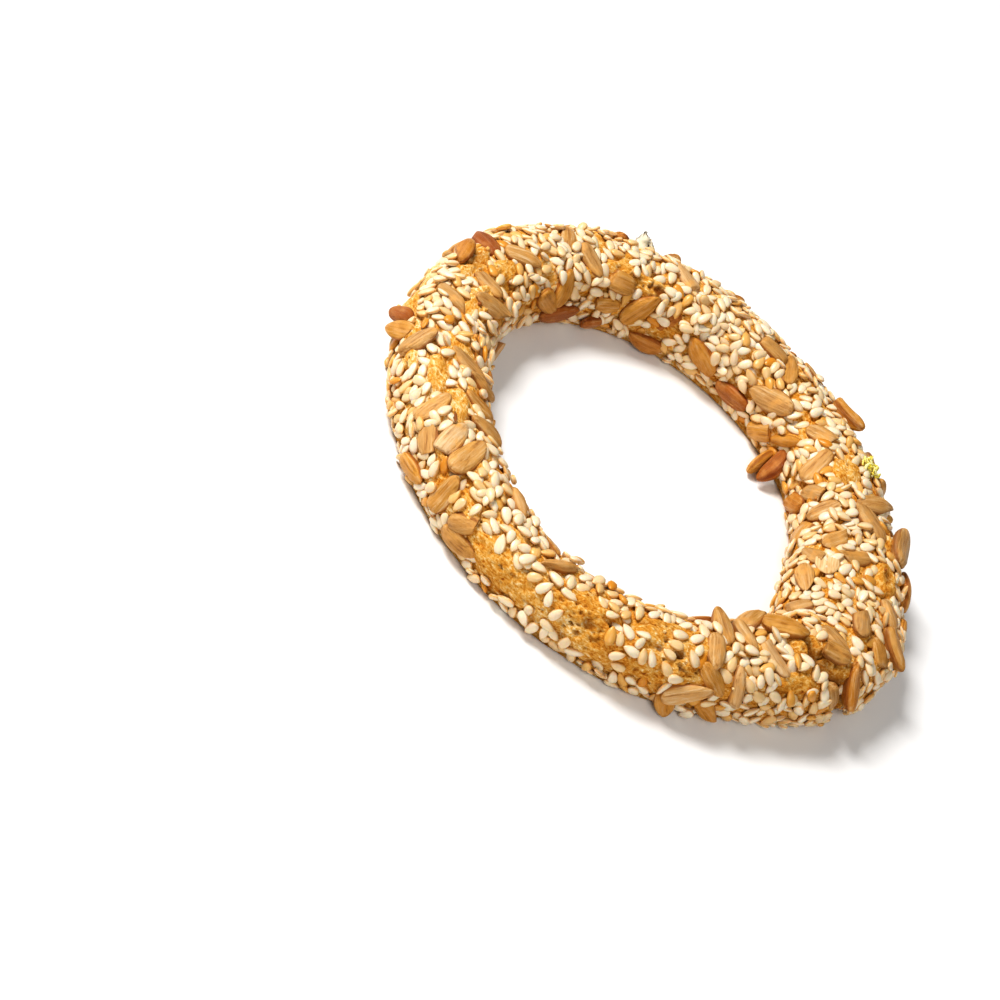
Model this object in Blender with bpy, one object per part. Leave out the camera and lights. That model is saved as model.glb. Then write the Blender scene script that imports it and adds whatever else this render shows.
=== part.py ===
# Seeded bread ring, lying on its flat baked base with the domed side up.
#
# A rope of dough is rolled in sesame and sunflower kernels, bent round and pinched shut,
# so its radius, width and height swell and thin as a hand leaves them. Two angles, in
# degrees, give a place on it: the ring angle runs round the ring from +X, and the rope
# angle runs round the rope, 0 at its outer side, 90 on top and 180 in the hole.

import math

import bmesh
import bpy
import numpy as np
from mathutils import Matrix, Vector, noise

MM = 0.001

# The rope of dough
RING_RADIUS = 48.2 * MM
ROPE_WIDTH = 20.8 * MM
ROPE_HEIGHT = 15.5 * MM
WIDEST_AT = 0.42
BASE_CUT = 1.25
RING_CENTRE = (-2.7 * MM, -1.45 * MM)
STEPS_ROUND_RING = 80
STEPS_ROUND_ROPE = 18

# Where the hand left it uneven: ring angle, spread, and the change in millimetres
BOWS = ((134, 40, 2.5), (349, 14, 3.0), (212, 28, -2.0), (24, 16, -1.1))
WIDTHS = ((4, 18, 8.0), (272, 28, -4.2))
HEIGHTS = ((126, 38, 1.2), (272, 28, -2.4))

# Crust: soft lumps, torn pits, and the crease where the rope's ends are pinched together
LUMP_DEPTH = 0.8 * MM
LUMP_SIZE = 9.0 * MM
CREASE_AT_OUTER_SIDE = 343.5
CREASE_LEAN = -0.075
CREASE_DEPTH = 2.6 * MM
CREASE_WIDTH = 2.4 * MM
LOWEST_CRUST = 0.3 * MM
# ring angle, rope angle, radius and depth in millimetres
PITS = (
    (301.5, 60, 2.2, 1.4), (281.5, 42, 2.0, 1.0), (252, 100, 2.5, 0.9), (171, 70, 3.0, 0.9),
    (148, 130, 2.5, 1.0),
)

# Sunflower kernels: the length, width, thickness and width of tip of each kind
KERNEL_KINDS = {
    "large": (10.2 * MM, 5.4 * MM, 2.8 * MM, 0.35),
    "whole": (8.6 * MM, 4.5 * MM, 2.5 * MM, 0.35),
    "on_edge": (9.0 * MM, 2.6 * MM, 4.4 * MM, 0.35),
    "long": (10.8 * MM, 2.8 * MM, 4.4 * MM, 0.35),
    "broken": (5.6 * MM, 4.6 * MM, 2.6 * MM, 0.85),
}
# The kernels that show most: ring angle, rope angle, turn from the rope's own direction, and lean out of it
SHOWN = {
    "large": (
        (233, 64, 125, 0), (238, 77, 118, 0), (209, 104, 235, 0), (184, 117, 293, 0), (74, 149, 24, 0),
        (98, 176, 331, 0), (30, 85, 32, 0), (27, 45, 347, 12), (122, 162, 238, 0), (148, 182, 195, 4),
        (306, 7, 32, 0), (332, 109, 332, 0),
    ),
    "whole": (
        (60, 192, 180, 68), (36, 76, 276, 14), (200, 9, 234, 26), (166, 54, 250, 14), (314, 114, 93, 24),
        (4, 60, 215, 4), (16, 97, 297, 0), (2, 144, 195, 0), (49, 137, 301, 0), (78, 93, 304, 0),
        (85, 95, 9, 6), (84, 183, 5, 0), (112, 174, 68, 0), (112, 88, 315, 0), (114, 196, 351, 6),
        (162, 94, 134, 0), (178, 94, 259, 0), (144, 77, 243, 4), (140, 108, 107, 4), (150, 150, 251, 0),
        (156, 166, 138, 0), (174, 52, 186, 8), (206, 41, 116, 4), (221, 119, 247, 0), (230, 117, 239, 0),
        (224, 52, 117, 0), (234, 354, 13, 0), (243, 16, 97, 0), (252, 356, 12, 0), (310, 37, 318, 0),
        (310, 78, 261, 0), (326, 80, 292, 0), (345, 87, 276, 0),
    ),
    "on_edge": (
        (56, 188, 127, 50), (62, 171, 48, 0), (190, 77, 57, 0), (62, 62, 198, 8), (252, 115, 336, 0),
        (270, 90, 48, 0), (320, 101, 278, 0), (316, 31, 98, 0), (358, 41, 247, 10), (214, 128, 260, 0),
    ),
    "long": ((344, 38, 84, 4),),
    "broken": (
        (306, 346, 300, 50), (315, 354, 330, 22), (195, 6, 230, 36), (134, 192, 346, 20), (324, 133, 20, 20),
        (40, 159, 227, 0), (31, 143, 296, 0), (58, 115, 221, 0), (250, 13, 45, 0), (354, 85, 28, 0),
        (342, 77, 143, 0), (340, 20, 116, 0), (19, 120, 315, 0), (130, 134, 352, 0), (132, 170, 8, 0),
        (346, 148, 295, 0), (232, 27, 157, 0), (40, 182, 34, 0), (25, 176, 301, 0), (354, 56, 236, 0),
        (14, 145, 225, 0), (70, 186, 225, 0),
    ),
}
KERNEL_COUNT = 130
KINDS_DRAWN = ("large", "whole", "whole", "whole", "on_edge", "broken")

# Sesame seeds, and how every seed sits
SESAME_SIZE = (3.3 * MM, 2.1 * MM, 1.2 * MM, 0.45)
SESAME_COUNT = 13
SEED_GAP = 0.35 * MM
SEED_SINK = 0.05
SEED_SINK_ACROSS = 0.25
SEED_RISE = 0.3
LOWEST_SEED = 0.35 * MM
DRAW = 41

# Patches of bare crust: ring angle, rope angle, and half their length and height in degrees
BARE = (
    (294, 38, 26, 34), (262, 22, 14, 26), (168, 60, 8, 30), (208, 30, 7, 22),
    (343, 62, 5, 30), (28, 58, 7, 16), (121, 110, 6, 22),
)


def bump(angle, centre, spread):
    """1 at the centre of a swell, falling away smoothly on both sides of it and periodic round the ring."""
    return np.exp((np.cos(angle - math.radians(centre)) - 1) / math.radians(spread) ** 2)


def along(angle, mean, changes):
    """A mean size with the hand's changes added, at a ring angle in radians."""
    return mean + sum(change * MM * bump(angle, centre, spread) for centre, spread, change in changes)


def rope_point(ring, rope):
    """The smooth rope's surface at a ring and a rope angle, in radians: a D-shaped section, flat below."""
    radius = along(ring, RING_RADIUS, BOWS)
    step = 0.001
    ahead, behind = along(ring + step, RING_RADIUS, BOWS), along(ring - step, RING_RADIUS, BOWS)
    slope = (ahead - behind) / (2 * step)
    tangent_x = slope * np.cos(ring) - radius * np.sin(ring)
    tangent_y = slope * np.sin(ring) + radius * np.cos(ring)
    length = np.hypot(tangent_x, tangent_y)
    side, rise = np.cos(rope), np.sin(rope)
    across = along(ring, ROPE_WIDTH, WIDTHS) / 2 * np.sign(side) * np.abs(side) ** 0.85
    dome = WIDEST_AT + (1 - WIDEST_AT) * np.abs(rise) ** 0.9
    under = WIDEST_AT * np.maximum(1 - BASE_CUT * np.abs(rise) ** 0.6, 0)
    height = along(ring, ROPE_HEIGHT, HEIGHTS) * np.where(rise >= 0, dome, under)
    return np.stack(
        [
            RING_CENTRE[0] + radius * np.cos(ring) + tangent_y / length * across,
            RING_CENTRE[1] + radius * np.sin(ring) - tangent_x / length * across,
            height,
        ],
        axis=-1,
    )


def rope_frame(ring, rope):
    """Point, direction along the rope, direction round it, and outward normal, as vectors."""
    step = 0.001
    point = Vector(rope_point(ring, rope))
    forward = Vector(rope_point(ring + step, rope) - rope_point(ring - step, rope)).normalized()
    normal = forward.cross(Vector(rope_point(ring, rope + step) - rope_point(ring, rope - step))).normalized()
    return point, forward, normal.cross(forward), normal


def relief(point, ring, rope):
    """How far the crust stands off the smooth rope: lumps, less the pits and the pinched crease."""
    lumps = LUMP_DEPTH * (noise.noise(point / LUMP_SIZE) + 0.6 * noise.noise(point / LUMP_SIZE * 2.3))
    hollow = 0.0
    for pit_ring, pit_rope, size, depth in PITS:
        centre = Vector(rope_point(math.radians(pit_ring), math.radians(pit_rope)))
        hollow += depth * MM * math.exp(-(((point - centre).length / (size * MM)) ** 2))
    rope_degrees = math.degrees(rope) % 360
    if rope_degrees > 200:
        rope_degrees -= 360
    crease = math.radians(CREASE_AT_OUTER_SIDE + CREASE_LEAN * rope_degrees)
    apart = (ring - crease + math.pi) % (2 * math.pi) - math.pi
    groove = CREASE_DEPTH * math.exp(-((apart * RING_RADIUS / CREASE_WIDTH) ** 2))
    return lumps - hollow - groove


def plain_material(name, colour, roughness):
    material = bpy.data.materials.new(name)
    material.use_nodes = True
    shader = material.node_tree.nodes["Principled BSDF"]
    shader.inputs["Base Color"].default_value = (*colour, 1)
    shader.inputs["Roughness"].default_value = roughness
    shader.inputs["Metallic"].default_value = 0.0
    material.diffuse_color = (*colour, 1)
    return material


def make_rope(collection):
    """The rope of dough: a torus whose points move to the rope's surface, and then by the crust's relief."""
    bpy.ops.mesh.primitive_torus_add(
        major_segments=STEPS_ROUND_RING, minor_segments=STEPS_ROUND_ROPE,
        major_radius=RING_RADIUS, minor_radius=ROPE_HEIGHT / 2,
    )
    rope = bpy.context.object
    rope.name = "bread_ring"
    rope.data.name = "bread_ring"
    for vertex in rope.data.vertices:
        x, y, z = vertex.co
        ring_angle = math.atan2(y, x)
        rope_angle = math.atan2(z, math.hypot(x, y) - RING_RADIUS)
        point, _, _, normal = rope_frame(ring_angle, rope_angle)
        if point.z > 0:
            point += normal * relief(point, ring_angle, rope_angle)
            point.z = max(point.z, LOWEST_CRUST)
        vertex.co = point
    for other in rope.users_collection:
        other.objects.unlink(rope)
    collection.objects.link(rope)
    return rope


def seed_mesh(name, size, sides, rings):
    """A flattened drop: a sphere stretched along X, full behind its middle and narrowed ahead to its tip."""
    length, width, thickness, tip = size
    shape = bmesh.new()
    bmesh.ops.create_uvsphere(shape, u_segments=sides, v_segments=rings, radius=0.5)
    for vertex in shape.verts:
        side, thick, lengthwise = vertex.co
        narrow = 1 - (1 - tip) * max(2 * lengthwise, 0) + 0.15 * max(-2 * lengthwise, 0)
        vertex.co = (lengthwise * length, side * width * narrow, thick * thickness)
    bmesh.ops.recalc_face_normals(shape, faces=shape.faces)
    mesh = bpy.data.meshes.new(name)
    shape.to_mesh(mesh)
    shape.free()
    return mesh


def is_bare(ring, rope):
    """True inside one of the patches of bare crust, at angles in degrees."""
    for patch_ring, patch_rope, long, high in BARE:
        apart = (ring - patch_ring + 180) % 360 - 180
        if (apart / long) ** 2 + ((rope - patch_rope) / high) ** 2 < 1:
            return True
    return False


def seed_place(ring, rope, turn, lean, size):
    """Where a seed lies, from angles in degrees: half sunk in the crust, with its tip raised by the lean."""
    point, forward, round_rope, normal = rope_frame(math.radians(ring), math.radians(rope))
    point += normal * relief(point, math.radians(ring), math.radians(rope))
    spin, tilt = math.radians(turn), math.radians(lean)
    flat = forward * math.cos(spin) + round_rope * math.sin(spin)
    axis = flat * math.cos(tilt) + normal * math.sin(tilt)
    width = normal.cross(flat)
    sunk = size[2] * (SEED_SINK + SEED_SINK_ACROSS * abs(math.sin(spin)))
    place = Matrix((axis, width, axis.cross(width))).transposed().to_4x4()
    place.translation = point + normal * (abs(math.sin(tilt)) * size[0] * SEED_RISE - sunk)
    return place


def balls_along(place, size):
    """Three balls along a seed, by which its distance from other seeds is told."""
    ball = max(size[1], size[2]) * 0.46
    reach = place.to_3x3() @ Vector((max(size[0] / 2 - ball, 0), 0, 0))
    return [(place.translation + reach * end, ball) for end in (-1, 0, 1)]


def drawn_place(draw, size, mesh, taken):
    """A free place for one more seed, drawn evenly over the crust, clear of the base and bare patches."""
    while True:
        ring, rope = draw.uniform(0, 360), draw.uniform(-36, 216)
        point = rope_point(math.radians(ring), math.radians(rope))
        reach = math.hypot(point[0] - RING_CENTRE[0], point[1] - RING_CENTRE[1])
        if draw.uniform(0, RING_RADIUS + ROPE_WIDTH) > reach or is_bare(ring, rope):
            continue
        place = seed_place(ring, rope, draw.uniform(0, 360), draw.uniform(-7, 7), size)
        if min((place @ vertex.co).z for vertex in mesh.vertices) < LOWEST_SEED:
            continue
        balls = balls_along(place, size)
        if all((b - c).length > r + other + SEED_GAP for b, r in balls for c, other in taken):
            taken.extend(balls)
            return place


def add_seed(collection, mesh, place):
    seed = bpy.data.objects.new(f"{mesh.name}_{len(collection.objects) + 1}", mesh)
    seed.matrix_world = place
    collection.objects.link(seed)


def scatter_seeds(collection):
    """The kernels that show most, then more kernels of each kind, then the largest sesame seeds."""
    draw = np.random.default_rng(DRAW)
    taken = []
    meshes = {kind: seed_mesh(f"kernel_{kind}", size, 5, 4) for kind, size in KERNEL_KINDS.items()}
    colour = plain_material("sunflower kernel", (0.50, 0.30, 0.14), 0.6)
    for kind, mesh in meshes.items():
        mesh.materials.append(colour)
        for angles in SHOWN[kind]:
            place = seed_place(*angles, KERNEL_KINDS[kind])
            if min((place @ vertex.co).z for vertex in mesh.vertices) < LOWEST_SEED:
                continue
            taken.extend(balls_along(place, KERNEL_KINDS[kind]))
            add_seed(collection, mesh, place)
    while len(collection.objects) < KERNEL_COUNT:
        kind = KINDS_DRAWN[draw.integers(len(KINDS_DRAWN))]
        add_seed(collection, meshes[kind], drawn_place(draw, KERNEL_KINDS[kind], meshes[kind], taken))
    sesame = seed_mesh("sesame", SESAME_SIZE, 5, 3)
    sesame.materials.append(plain_material("sesame seed", (0.86, 0.74, 0.50), 0.5))
    for _ in range(SESAME_COUNT):
        add_seed(collection, sesame, drawn_place(draw, SESAME_SIZE, sesame, taken))


def fuse(rope, toppings):
    """Joins every seed to the rope, then keeps the one outer skin: loose scraps and sealed hollows go."""
    join = rope.modifiers.new("Fuse seeds", "BOOLEAN")
    join.operation = "UNION"
    join.solver = "EXACT"
    join.operand_type = "COLLECTION"
    join.collection = toppings
    join.material_mode = "TRANSFER"
    bpy.context.view_layer.update()
    fused = bpy.data.meshes.new_from_object(rope.evaluated_get(bpy.context.evaluated_depsgraph_get()))
    rope.modifiers.remove(join)
    for seed in list(toppings.objects):
        bpy.data.objects.remove(seed)
    bpy.data.collections.remove(toppings)

    skin = bmesh.new()
    skin.from_mesh(fused)
    bmesh.ops.remove_doubles(skin, verts=skin.verts, dist=0.000002)
    bmesh.ops.triangulate(skin, faces=skin.faces)
    islands = []
    unseen = set(skin.faces)
    while unseen:
        island = set()
        edge_of_search = [unseen.pop()]
        while edge_of_search:
            face = edge_of_search.pop()
            island.add(face)
            for edge in face.edges:
                for neighbour in edge.link_faces:
                    if neighbour in unseen:
                        unseen.discard(neighbour)
                        edge_of_search.append(neighbour)
        islands.append(island)
    largest = max(islands, key=len)
    loose = [face for island in islands if island is not largest for face in island]
    bmesh.ops.delete(skin, geom=loose, context="FACES")
    skin.to_mesh(fused)
    skin.free()
    old = rope.data
    rope.data = fused
    fused.name = "bread_ring"
    bpy.data.meshes.remove(old)


for leftover in list(bpy.data.objects):
    bpy.data.objects.remove(leftover)

bread = bpy.data.collections.new("bread ring")
toppings = bpy.data.collections.new("toppings")
bpy.context.scene.collection.children.link(bread)
bpy.context.scene.collection.children.link(toppings)

ring = make_rope(bread)
ring.data.materials.append(plain_material("baked crust", (0.58, 0.33, 0.12), 0.8))

scatter_seeds(toppings)
fuse(ring, toppings)
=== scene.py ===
import math

import bpy
import numpy as np
from mathutils import Matrix, Vector


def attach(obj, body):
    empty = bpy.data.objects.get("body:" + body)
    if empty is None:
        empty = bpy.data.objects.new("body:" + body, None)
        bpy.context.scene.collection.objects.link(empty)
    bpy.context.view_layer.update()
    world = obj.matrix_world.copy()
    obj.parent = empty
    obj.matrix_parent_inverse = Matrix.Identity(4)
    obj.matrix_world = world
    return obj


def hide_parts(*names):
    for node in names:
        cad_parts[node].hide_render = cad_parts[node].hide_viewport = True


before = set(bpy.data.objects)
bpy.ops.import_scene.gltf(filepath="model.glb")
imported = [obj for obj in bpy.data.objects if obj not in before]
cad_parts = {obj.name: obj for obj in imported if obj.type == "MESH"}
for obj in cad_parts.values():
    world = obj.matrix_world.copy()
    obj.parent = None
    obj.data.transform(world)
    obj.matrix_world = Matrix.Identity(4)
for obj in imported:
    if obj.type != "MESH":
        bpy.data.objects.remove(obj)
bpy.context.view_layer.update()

# The rope of dough
# One rope of yeast dough, rolled by hand, bent round and pinched shut, then baked on a flat
# tray. It has a domed, golden, porous crust, a flat underside, and a crease at the pinch.

MM = 0.001
RING_RADIUS = 48.2 * MM
ROPE_WIDTH = 20.8 * MM
ROPE_HEIGHT = 15.5 * MM
WIDEST_AT = 0.42
BASE_CUT = 1.25
RING_CENTRE = (-2.7 * MM, -1.45 * MM)

# Where the hand left it uneven: ring angle, spread, and the change in millimetres
BOWS = ((134, 40, 2.5), (349, 14, 3.0), (212, 28, -2.0), (24, 16, -1.1))
WIDTHS = ((4, 18, 8.0), (272, 28, -4.2))
HEIGHTS = ((126, 38, 1.2), (272, 28, -2.4))

STEPS_ROUND_RING = 690
STEPS_ROUND_DOME = 124
STEPS_ROUND_BASE = 18
BASE_FROM, BASE_TO = -40, -140
BASE_LIFT = 0.25 * MM


def bump(angle, centre, spread):
    """A swell round the ring: e to the power of (cosine of the distance - 1) / spread²."""
    return np.exp((np.cos(angle - math.radians(centre)) - 1) / math.radians(spread) ** 2)


def along(angle, mean, changes):
    """A mean size plus each of the hand's changes times its swell, at a ring angle in radians."""
    return mean + sum(change * MM * bump(angle, centre, spread) for centre, spread, change in changes)


def rope_point(ring, rope):
    """The smooth rope. Its section is half the width times the cosine to the power 0.85 across, and the
    height times a constant plus the sine to the power 0.9 above, falling to a flat cut below. It is
    carried square to the bowed middle line of the ring. Angles are in radians."""
    radius = along(ring, RING_RADIUS, BOWS)
    step = 0.001
    slope = (along(ring + step, RING_RADIUS, BOWS) - along(ring - step, RING_RADIUS, BOWS)) / (2 * step)
    tangent_x = slope * np.cos(ring) - radius * np.sin(ring)
    tangent_y = slope * np.sin(ring) + radius * np.cos(ring)
    length = np.hypot(tangent_x, tangent_y)
    side, rise = np.cos(rope), np.sin(rope)
    across = along(ring, ROPE_WIDTH, WIDTHS) / 2 * np.sign(side) * np.abs(side) ** 0.85
    dome = WIDEST_AT + (1 - WIDEST_AT) * np.abs(rise) ** 0.9
    under = WIDEST_AT * np.maximum(1 - BASE_CUT * np.abs(rise) ** 0.6, 0)
    return np.stack(
        [
            RING_CENTRE[0] + radius * np.cos(ring) + tangent_y / length * across,
            RING_CENTRE[1] + radius * np.sin(ring) - tangent_x / length * across,
            along(ring, ROPE_HEIGHT, HEIGHTS) * np.where(rise >= 0, dome, under),
        ],
        axis=-1,
    )


def unit(vectors):
    """Each vector divided by its own length."""
    return vectors / np.linalg.norm(vectors, axis=-1, keepdims=True)


def rope_frame(ring, rope):
    """Point, direction along the rope, direction round it and outward normal of the smooth rope, from
    differences a thousandth of a radian to either side."""
    step = 0.001
    forward = unit(rope_point(ring + step, rope) - rope_point(ring - step, rope))
    normal = unit(np.cross(forward, rope_point(ring, rope + step) - rope_point(ring, rope - step)))
    return rope_point(ring, rope), forward, np.cross(normal, forward), normal


def waves(points, size, seed, count=28):
    """Soft lumps, mostly between -1 and 1: the sum of plane sine waves of one length in seeded
    directions, divided by the square root of their number."""
    draw = np.random.default_rng(seed)
    direction = unit(draw.normal(size=(count, 3)))
    phase = draw.uniform(0, 2 * math.pi, count)
    total = np.zeros(points.shape[:-1])
    for heading, start in zip(direction, phase):
        total += np.sin(points @ heading * (2 * math.pi / size) + start)
    return total / math.sqrt(count)


# Rows round the rope: close over the dome and the walls, wider on the flat base
dome_rows = np.linspace(BASE_FROM, BASE_TO + 360, STEPS_ROUND_DOME, endpoint=False)
base_rows = np.linspace(BASE_TO + 360, BASE_FROM + 360, STEPS_ROUND_BASE, endpoint=False)
row_angles = np.radians(np.concatenate([dome_rows, base_rows]))
ring_angles = np.radians(np.linspace(0, 360, STEPS_ROUND_RING, endpoint=False))
ring_grid, rope_grid = np.meshgrid(ring_angles, row_angles, indexing="ij")
smooth, _, _, outward = rope_frame(ring_grid, rope_grid)
is_base = (np.arange(len(row_angles)) >= STEPS_ROUND_DOME)[None, :]
outward[np.broadcast_to(is_base, ring_grid.shape)] = (0, 0, -1)

# The crust's relief: lumps of a given size and depth in millimetres, torn stretch marks, crease, pores
LUMPS = ((9.0, 0.30, 3), (4.2, 0.17, 4), (2.2, 0.09, 5), (1.4, 0.06, 6))
TEAR_SIZE, TEAR_DEPTH, TEAR_WIDTH = 3.4 * MM, 0.32 * MM, 0.22
SMALL_TEAR_SIZE, SMALL_TEAR_SHARE = 1.6 * MM, 0.35
TORN_PATCH_SIZE = 14 * MM
CREASE_AT_OUTER_SIDE = 343.5
CREASE_LEAN = -0.075
CREASE_DEPTH = 3.0 * MM
CREASE_WIDTH = 1.4 * MM
CREASE_WANDER = 0.7 * MM
DEEPER_OUTSIDE = 0.35
LIP_HEIGHT = 0.5 * MM
LIP_WIDTH = 4.5 * MM
PORE_COUNT = 1500
PORE_RADIUS, PORE_RADIUS_MORE = 0.22 * MM, 0.45 * MM
PORE_DEPTHS = (0.7, 1.4)
PORE_STRETCHES = (1.0, 1.5, 2.8)
PORE_ROWS = (-35, 215)
# Larger pits: ring angle, rope angle, radius and depth in millimetres, and how far they are drawn out
PITS = (
    (301.5, 60, 0.95, 2.6, 1), (281.5, 42, 1.3, 0.7, 1.3), (252, 100, 1.7, 0.6, 1),
    (173, 72, 1.8, 0.5, 2), (148, 130, 1.8, 0.6, 1), (336, 80, 1.4, 1.8, 1.2), (118, 126, 1.1, 1.1, 2.4),
    (185, 100, 1.2, 0.5, 2), (288, 60, 0.8, 0.4, 2.5), (308, 44, 0.7, 0.5, 2), (14, 70, 1.2, 0.6, 1.5),
)
# The seed layer is this deep, so the dough lies that far inside the form, but less where it is bare
SEED_BED = 1.5 * MM
BARE_RISE = 0.8 * MM
# Patches where no mix stuck: ring angle, rope angle, and half their length and height in degrees
BARE = (
    (289, 32, 26, 38), (264, 20, 15, 28), (174, 66, 8, 20), (185, 100, 6, 16), (170, 98, 5, 14),
    (122, 123, 7, 16), (131, 113, 5, 12), (330, 47, 5, 18), (336, 90, 5, 14), (14, 70, 6, 14),
    (45, 101, 5, 20), (215, 66, 6, 16), (223, 85, 5, 12), (234, 42, 4, 10), (206, 26, 8, 20),
    (343, 62, 5, 24), (28, 58, 6, 14), (184, 16, 9, 14), (191, 2, 6, 10), (301, 80, 12, 24),
    (280, 76, 9, 15),
)


def bareness(ring, rope):
    """How deep a place in degrees lies in a bare patch: 1 less the squares of its distances from the
    middle over the patch's half sizes, and 0 at the edge and beyond."""
    deepest = np.zeros(np.shape(ring))
    for patch_ring, patch_rope, long, high in BARE:
        apart = (ring - patch_ring + 180) % 360 - 180
        deepest = np.maximum(deepest, 1 - (apart / long) ** 2 - ((rope - patch_rope) / high) ** 2)
    return deepest


def from_crease(ring, rope):
    """Distance along the rope from the crease, which leans: the ring angle less the crease's angle at
    that rope angle, times the ring's radius. Angles are in degrees."""
    gap = (ring - CREASE_AT_OUTER_SIDE - CREASE_LEAN * rope + 180) % 360 - 180
    return np.radians(gap) * RING_RADIUS


relief = sum(depth * MM * waves(smooth, size * MM, seed) for size, depth, seed in LUMPS)
tears = np.abs(waves(smooth, TEAR_SIZE, 7)) + SMALL_TEAR_SHARE * np.abs(waves(smooth, SMALL_TEAR_SIZE, 9))
torn = np.clip(waves(smooth, TORN_PATCH_SIZE, 10) + 0.6, 0, 1)
relief -= TEAR_DEPTH * np.exp(-((tears / TEAR_WIDTH) ** 2)) * torn
rope_degrees = (np.degrees(rope_grid) + 160) % 360 - 160
crease_gap = from_crease(np.degrees(ring_grid), rope_degrees) + CREASE_WANDER * waves(smooth, 7 * MM, 8)
in_crease = np.exp(-((crease_gap / CREASE_WIDTH) ** 2))
relief += LIP_HEIGHT * np.exp(-(((crease_gap + LIP_WIDTH * 0.7) / LIP_WIDTH) ** 2))
relief -= CREASE_DEPTH * in_crease * (1 + DEEPER_OUTSIDE * np.cos(rope_grid))
relief -= SEED_BED - BARE_RISE * np.clip(2 * bareness(np.degrees(ring_grid), rope_degrees), 0, 1)
# Painted shade: the crust's colour darkens towards deep brown inside the crease, and the pits and pores
# below add theirs
hollow = in_crease
ragged = waves(smooth, 1.3 * MM, 12) + 0.6 * waves(smooth, 2.6 * MM, 13)
RAGGEDNESS = 0.55
# A pit has faded out at this many radii, and one this deep gets the full painted shade in the crust's
# colour
PIT_REACH = 2.2
FULL_SHADE_DEPTH = 1.1 * MM
# About the finest steps of the grid along and round the rope
STEP_ALONG, STEP_ROUND = 0.36 * MM, 0.34 * MM


def press(centre_ring, centre_rope, radius, depth, stretch=1.0):
    """Sinks one ragged pit into the relief: its depth times e to the power of -(distance / radius)³,
    with the distance along the rope divided by stretch. It also notes how far inside a pit each point
    is, which sets how much painted shade the crust's colour gets there."""
    i = int(round(centre_ring / (2 * math.pi) * STEPS_ROUND_RING)) % STEPS_ROUND_RING
    j = int(np.argmin(np.abs((row_angles - centre_rope + math.pi) % (2 * math.pi) - math.pi)))
    reach_i = int(radius * max(stretch, 1) * PIT_REACH / STEP_ALONG) + 2
    reach_j = int(radius * PIT_REACH / STEP_ROUND) + 2
    rows = np.arange(i - reach_i, i + reach_i + 1) % STEPS_ROUND_RING
    columns = np.arange(j - reach_j, j + reach_j + 1)
    columns = columns[(columns >= 0) & (columns < STEPS_ROUND_DOME)]
    window = np.ix_(rows, columns)
    apart = smooth[window] - rope_point(centre_ring, centre_rope)
    forward = np.array([-math.sin(centre_ring), math.cos(centre_ring), 0])
    lengthwise = apart @ forward
    squared = (apart**2).sum(-1) - lengthwise**2 + (lengthwise / stretch) ** 2
    squared *= 1 + RAGGEDNESS * ragged[window]
    inside = np.exp(-((np.maximum(squared, 0) / radius**2) ** 1.5))
    relief[window] -= depth * inside
    hollow[window] = np.maximum(hollow[window], inside * min(depth / FULL_SHADE_DEPTH, 1))


draw = np.random.default_rng(17)
for pit_ring, pit_rope, radius, depth, stretch in PITS:
    press(math.radians(pit_ring), math.radians(pit_rope), radius * MM, depth * MM, stretch)
for _ in range(PORE_COUNT):
    radius = PORE_RADIUS + PORE_RADIUS_MORE * draw.uniform() ** 4
    depth = radius * draw.uniform(*PORE_DEPTHS)
    stretch = draw.choice(PORE_STRETCHES)
    press(draw.uniform(0, 2 * math.pi), math.radians(draw.uniform(*PORE_ROWS)), radius, depth, stretch)

# The tray pressed the base nearly flat and browned it a little
BASE_RELIEF = 0.3
BASE_BROWNING = 0.25
relief = np.where(is_base, np.minimum(relief + SEED_BED, 0) * BASE_RELIEF - BASE_LIFT, relief)
crust = smooth + outward * relief[..., None]
crust[..., 2] = np.maximum(crust[..., 2], BASE_LIFT)


def linear(code):
    """An sRGB hex colour as linear light."""
    value = np.array([int(code[i : i + 2], 16) / 255 for i in (1, 3, 5)])
    return (*np.where(value <= 0.04045, value / 12.92, ((value + 0.055) / 1.055) ** 2.4), 1.0)


def node(material, kind, settings=None, links=None):
    """Adds one shader node, sets its properties, ramp stops and socket values, and links its inputs."""
    made = material.node_tree.nodes.new(kind)
    for name, value in (settings or {}).items():
        if name == "stops":
            bands = made.color_ramp.elements
            while len(bands) < len(value):
                bands.new(0.5)
            for band, (place, code) in zip(bands, value):
                band.position = place
                band.color = linear(code)
        elif isinstance(name, str) and hasattr(made, name):
            setattr(made, name, value)
        else:
            made.inputs[name].default_value = value
    for name, source in (links or {}).items():
        material.node_tree.links.new(source, made.inputs[name])
    return made


def new_material(name):
    """A material without nodes."""
    material = bpy.data.materials.new(name)
    material.use_nodes = True
    material.node_tree.nodes.clear()
    return material


def carried(material, name, output="Fac"):
    """What the mesh carries at its points under a name."""
    return node(material, "ShaderNodeAttribute", {"attribute_name": name}).outputs[output]


def added(material, value, share, onto):
    """A value times a share, added onto another value."""
    settings = {"operation": "MULTIPLY_ADD", 1: share}
    return node(material, "ShaderNodeMath", settings, {0: value, 2: onto}).outputs[0]


def ramp(material, value, stops):
    """The colour that a value has between stops, each a place and an sRGB hex colour."""
    return node(material, "ShaderNodeValToRGB", {"stops": stops}, {"Fac": value}).outputs["Color"]


def tinted(material, share, colour, code):
    """A colour into which a share of an sRGB hex colour is mixed."""
    settings = {"data_type": "RGBA", 7: linear(code)}
    return node(material, "ShaderNodeMix", settings, {0: share, 6: colour}).outputs[2]


def bumped(material, height, strength, distance):
    """The normal of a surface that a height between 0 and 1 roughens by a distance in metres."""
    settings = {"Strength": strength, "Distance": distance}
    return node(material, "ShaderNodeBump", settings, {"Height": height}).outputs[0]


def surfaced(material, settings, links=None):
    """The material, with a principled surface of these settings and links put on it."""
    shader = node(material, "ShaderNodeBsdfPrincipled", settings, links)
    node(material, "ShaderNodeOutputMaterial", links={"Surface": shader.outputs[0]})
    return material


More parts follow.
